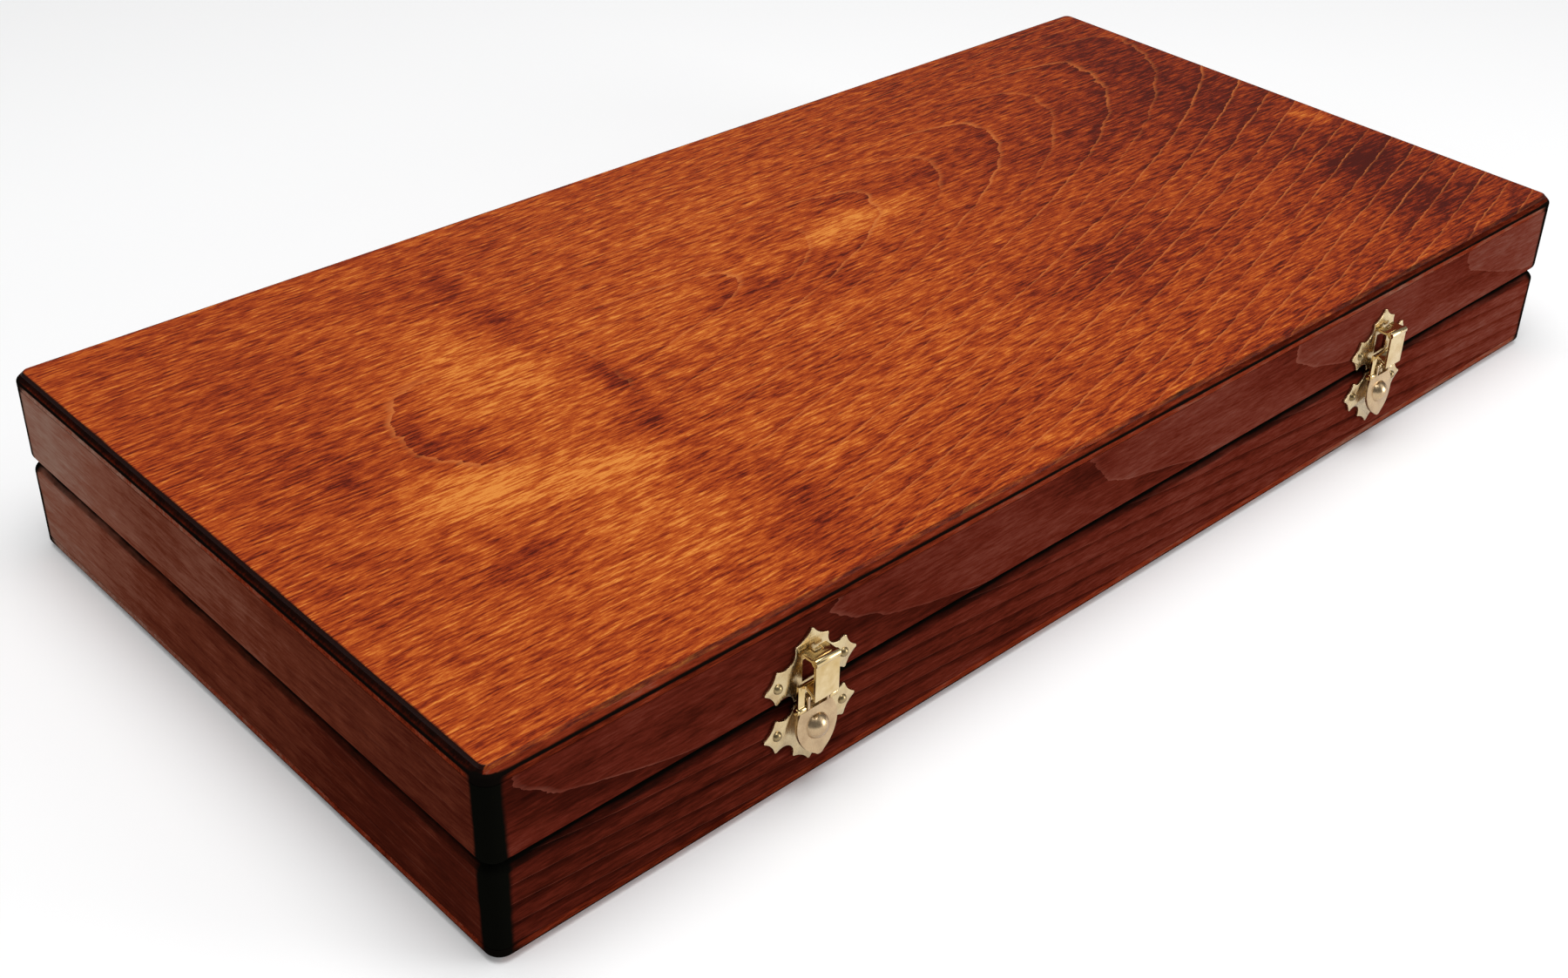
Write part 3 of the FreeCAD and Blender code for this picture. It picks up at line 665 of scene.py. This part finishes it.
# ---------------------------------------------------------- metal fittings
def softened(name, new_name, material, body, width=0.14, segments=2):
    """Merged copy of a pressed part with its cut edges rounded over by the press: a small bevel, its width
    in mm, on every edge sharper than 30 degrees."""
    work = bmesh.new()
    work.from_mesh(nodes[name].data)
    bmesh.ops.remove_doubles(work, verts=work.verts, dist=2e-6)
    bmesh.ops.dissolve_limit(work, angle_limit=np.radians(1.0), verts=work.verts, edges=work.edges)
    mesh = bpy.data.meshes.new(new_name)
    work.to_mesh(mesh)
    work.free()
    mesh.polygons.foreach_set("use_smooth", np.ones(len(mesh.polygons), bool))
    mesh.materials.append(material)
    obj = bpy.data.objects.new(new_name, mesh)
    bpy.context.scene.collection.objects.link(obj)
    bevel = obj.modifiers.new("pressed_edge", "BEVEL")
    bevel.width, bevel.segments = width * MM, segments
    bevel.limit_method, bevel.angle_limit = "ANGLE", np.radians(30)
    bevel.harden_normals = True
    return place(obj, body, name)


for latch in ("latch_left", "latch_right"):
    lever_body = latch + "_lever_body"
    softened(latch + "_base", latch + "_base_plate", plate_brass, "base")
    softened(latch + "_catch", latch + "_catch_plate", plate_brass, "lid")
    softened(latch + "_lever", latch + "_thumb_lever", lever_brass, lever_body, 0.18, 3)
    softened(latch + "_link", latch + "_band", bright_brass, latch + "_link_body", 0.16, 3)
    softened(latch + "_pin", latch + "_pivot_pin", bright_brass, "base", 0.06)
    softened(latch + "_rivets", latch + "_rivet_pair", bright_brass, lever_body, 0.08)


# ---------------------------------------------------------- playing pieces
def turned_row(name):
    """A row of five turned discs: one rounded profile of (radius, height) spun about each disc's axis. The
    rim carries two shallow turned grooves and the dished middle a low ring, each a bell curve in radius."""
    low, high = box_of(name)
    r, height = (high[1] - low[1]) / 2, high[2] - low[2]
    dish, edge, hollow = r - 3.0, 1.2, 0.9
    half = [(0, hollow), (dish - hollow, hollow), (dish, 0), (r - edge, 0), (r, edge)]
    corners = half + [(a, height - b) for a, b in reversed(half)]
    radii = [1e-3, 0.5, 0.5, 0.5, 0.6]
    outline = refined(rounded(corners, radii + radii[::-1], steps=3), 0.7, closed=False)
    a, b = outline.T
    side, from_middle = np.sign(b - height / 2), np.abs(b - height / 2)
    flat = np.maximum(from_middle - (height / 2 - hollow - 0.1), 0) / (hollow + 0.1)
    ring = 0.16 * bell(a, dish * 0.45, 0.6) - 0.16 * bell(a, dish * 0.45 + 1.4, 0.4)
    b = b + side * ring * (a < dish - hollow)
    b = b - 0.22 * side * flat * bell(a, r - 2.1, 0.3)
    turn = np.linspace(0, 2 * np.pi, 40, endpoint=False)
    shells = []
    for cx in np.linspace(low[0] + r, high[0] - r, 5):
        x, y = cx + a[:, None] * np.cos(turn), (low[1] + high[1]) / 2 + a[:, None] * np.sin(turn)
        z = np.broadcast_to((low[2] + b)[:, None], x.shape)
        shells.append((np.stack([x, y, z], -1), grid_faces(*x.shape, columns_closed=True)))
    return shells


CORNERS = [(-1, -1), (-1, 1), (1, -1), (1, 1)]
PIPS = {
    1: [(0, 0)],
    2: [(-1, -1), (1, 1)],
    3: [(-1, -1), (0, 0), (1, 1)],
    4: CORNERS,
    5: [*CORNERS, (0, 0)],
    6: [*CORNERS, (-1, 0), (1, 0)],
}


def soft_block(low, high, radius, values=(), across=45):
    """A cube with rolled edges: a point of the square cube is clipped to the inner cube and pushed out by
    the radius toward where it was. The spots of values are dished: each is sunk by PIP_DEPTH times
    (1 - (distance / spot radius) squared). Also gives each point's place and how much it is painted."""
    centre, h = (low + high) / 2, (high - low)[0] / 2
    u = np.linspace(-h, h, across)
    a, b = np.meshgrid(u, u, indexing="ij")
    shells, marks = [], []
    for k in range(6):
        axis, side = k // 2, 1 - 2 * (k % 2)
        sunk, mark = np.zeros_like(a), np.zeros_like(a)
        for px, py in PIPS[values[k]] if values else ():
            off = (a - px * h * PIP_AT) ** 2 + (b - py * h * PIP_AT) ** 2
            near = 1 - off / (PIP_REACH * h) ** 2
            sunk = np.maximum(sunk, PIP_DEPTH * np.maximum(near, 0))
            mark = np.maximum(mark, np.clip(near * 3 + 0.8, 0, 1))
        q = np.stack(np.roll([np.full_like(a, h * side), a, b], axis, 0), -1)
        core = np.clip(q, -(h - radius), h - radius)
        d = q - core
        p = core + radius * d / np.linalg.norm(d, axis=-1, keepdims=True)
        p[..., axis] -= side * sunk
        shells.append((p + centre, grid_faces(across, across)))
        marks.append(np.concatenate([p.reshape(-1, 3) + centre, mark.reshape(-1, 1)], 1))
    return shells, np.concatenate(marks)


def place_keys(points):
    """One whole number for each point's place, in steps of a two-hundredth of a millimetre."""
    return np.round(points * 200).astype(np.int64) @ np.array([1, 1 << 20, 1 << 40])


def spotted_pair(name, material, faces):
    """Two dice standing where the pair's box begins and ends, with their spots marked for the paint. The
    marks find their vertices by place, because welding the cubes puts those in a new order."""
    low, high = box_of(name)
    size = high[0] - low[0]
    shells, marks = [], []
    for values, start in zip(faces, (low[1], high[1] - size)):
        corner = np.array([low[0], start, low[2]])
        block, mark = soft_block(corner, corner + size, 1.5, values)
        shells += block
        marks.append(mark)
    obj = build(name + "_pair", shells, material, crease=60)
    marks = np.concatenate(marks)
    key, want = place_keys(marks[:, :3]), place_keys(read_points(obj.data) / MM)
    order = np.argsort(key, kind="stable")
    at = np.clip(np.searchsorted(key[order], want), 0, len(key) - 1)
    pip = obj.data.attributes.new("pip", "FLOAT", "POINT")
    pip.data.foreach_set("value", marks[order][at, 3].astype(np.float32))
    return obj


# The doubling cube's numbers, each with the directions of its text's x, y and z.
CUBE_FACES = {
    8: ((0, 1, 0), (0, 0, 1), (1, 0, 0)),
    32: ((0, -1, 0), (0, 0, 1), (-1, 0, 0)),
    16: ((-1, 0, 0), (0, 0, 1), (0, 1, 0)),
    4: ((1, 0, 0), (0, 0, 1), (0, -1, 0)),
    64: ((1, 0, 0), (0, 1, 0), (0, 0, 1)),
    2: ((1, 0, 0), (0, -1, 0), (0, 0, -1)),
}


def cube_numbers(name, low, high):
    """Doubling numbers 2 to 64, one on each face: flat letters 0.3 mm thick standing 0.03 mm proud."""
    centre, h = (low + high) / 2, (high - low)[0] / 2
    shells = []
    for number, way in CUBE_FACES.items():
        text = bpy.data.curves.new("number_" + str(number), "FONT")
        text.body, text.align_x, text.align_y = str(number), "CENTER", "CENTER"
        text.size, text.extrude, text.resolution_u = 10.5, 0.15, 3
        holder = bpy.data.objects.new("number_" + str(number), text)
        flat = bpy.data.meshes.new_from_object(holder)
        points = (read_points(flat) + (0, 0, h - 0.12)) @ np.array(way, float) + centre
        shells.append((points, [list(face.vertices) for face in flat.polygons]))
        bpy.data.objects.remove(holder)
        bpy.data.curves.remove(text)
        bpy.data.meshes.remove(flat)
    return build(name, shells, black_paint)


for tint, finish in (("light", pale_turned), ("dark", dark_turned)):
    for number in (1, 2, 3):
        name = "checkers_" + tint + "_" + str(number)
        place(build(name + "_discs", turned_row(name), finish, crease=50), name + "_body", name)
for name, finish, faces in (
    ("dice_light", ivory_die, ((3, 4, 6, 1, 5, 2), (1, 6, 5, 2, 3, 4))),
    ("dice_dark", brown_die, ((2, 5, 4, 3, 6, 1), (5, 2, 1, 6, 4, 3))),
):
    place(spotted_pair(name, finish, faces), name + "_body", name)
cube_low, cube_high = box_of("doubling_cube")
block, _ = soft_block(cube_low, cube_high, 2.0, across=25)
cube = build("doubling_cube_block", block, ivory_resin, crease=60)
place(cube, "doubling_cube_body", "doubling_cube")
place(cube_numbers("doubling_cube_numbers", cube_low, cube_high), "doubling_cube_body")

# ---- CAD nodes that stay as they are and only get their finish; the first word that fits a name counts ----
NODE_FINISHES = {
    "latch_nails": nail_brass,
    "hinge_screws": bright_brass,
    "hinge_": hinge_brass,
    "points_light": pale_inlay,
    "points_dark": dark_inlay,
}
for name, obj in nodes.items():
    finish = next((made for word, made in NODE_FINISHES.items() if word in name), None)
    if finish:
        obj.data.materials.clear()
        obj.data.materials.append(finish)


# ------------------------------------------------------------------ stage
def stage_floor():
    """Seamless white sweep, 12 m across: a plain grid that is lit more evenly with distance from the case,
    so that it stays pale."""
    u = np.linspace(-1, 1, 41)
    x, y = np.meshgrid(u * 6000, u * 6000, indexing="ij")
    made, tree = empty_material("white_paper_sweep")
    spot = node(tree, "ShaderNodeTexCoord").outputs["Object"]
    away = node(tree, "ShaderNodeVectorMath", {0: spot}, operation="LENGTH").outputs["Value"]
    span = {"Value": away, "From Min": 0.7, "From Max": 2.6, "To Min": 0.12, "To Max": 0.72}
    glow = node(tree, "ShaderNodeMapRange", span).outputs[0]
    finish_material(tree, Base_Color=colour("#f7f7f7"), Roughness=0.9, Specular_IOR_Level=0.1,
                    Emission_Color=colour("#ffffff"), Emission_Strength=glow)
    floor = build("floor", [(np.stack([x, y, np.zeros_like(x)], -1), grid_faces(*x.shape))], made)


def stand(obj, z, at, roll=0.0):
    """Puts a lamp or camera in the scene at a place in metres, looking against z, with its x level and then
    rolled by that angle."""
    x = np.cross([0, 0, 1], z)
    x /= np.linalg.norm(x)
    y = np.cross(z, x)
    x, y = np.cos(roll) * x + np.sin(roll) * y, -np.sin(roll) * x + np.cos(roll) * y
    for k, column in enumerate((x, y, z, at)):
        for row in range(3):
            obj.matrix_world[row][k] = column[row]
    bpy.context.scene.collection.objects.link(obj)


def lamp(name, at, target, size, power):
    """A square softbox at a place, in metres, facing a target."""
    data = bpy.data.lights.new(name, "AREA")
    data.shape, data.size, data.energy = "SQUARE", size, power
    z = np.array(at, float) - np.array(target, float)
    stand(bpy.data.objects.new(name, data), z / np.linalg.norm(z), at)


def camera():
    """Camera 583 mm from the case, looking down 32 degrees from beyond its near left corner."""
    turn, tilt, roll = np.radians(-45.693), np.radians(32.472), np.radians(2.691)
    z = np.array([np.sin(turn) * np.cos(tilt), -np.cos(turn) * np.cos(tilt), np.sin(tilt)])
    data = bpy.data.cameras.new("camera")
    data.sensor_width, data.lens = 36.0, 46.345
    data.shift_x, data.shift_y = -0.0512, -0.0281
    data.clip_start, data.clip_end = 0.01, 50
    obj = bpy.data.objects.new("camera", data)
    stand(obj, z, (np.array([-4.504, -6.335, 0]) + z * 583.377) * MM, roll)
    bpy.context.scene.camera = obj


def studio_world():
    """Pale room: what shines on the case is a quarter as strong as what is seen behind it."""
    world = bpy.data.worlds.new("studio")
    world.use_nodes = True
    sky = world.node_tree.nodes["Background"]
    sky.inputs["Color"].default_value = colour("#f4f5f7")
    seen = node(world.node_tree, "ShaderNodeLightPath").outputs["Is Camera Ray"]
    level = node(world.node_tree, "ShaderNodeMath", {0: seen, 1: 0.7, 2: 0.22}, operation="MULTIPLY_ADD")
    world.node_tree.links.new(level.outputs[0], sky.inputs["Strength"])
    bpy.context.scene.world = world


stage_floor()
lamp("overhead", (-0.1, -0.1, 1.2), (0, 0, 0), 0.9, 12)
lamp("front_right", (0.75, -1.0, 0.22), (0, -0.1, 0.03), 0.5, 6)
lamp("left_fill", (-1.2, 0.5, 0.4), (-0.2, 0, 0.02), 0.5, 1.5)
lamp("front_high", (0.95, -1.15, 1.15), (0, -0.1, 0.03), 1.0, 3)
camera()
studio_world()
bpy.context.scene.view_settings.view_transform = "Standard"
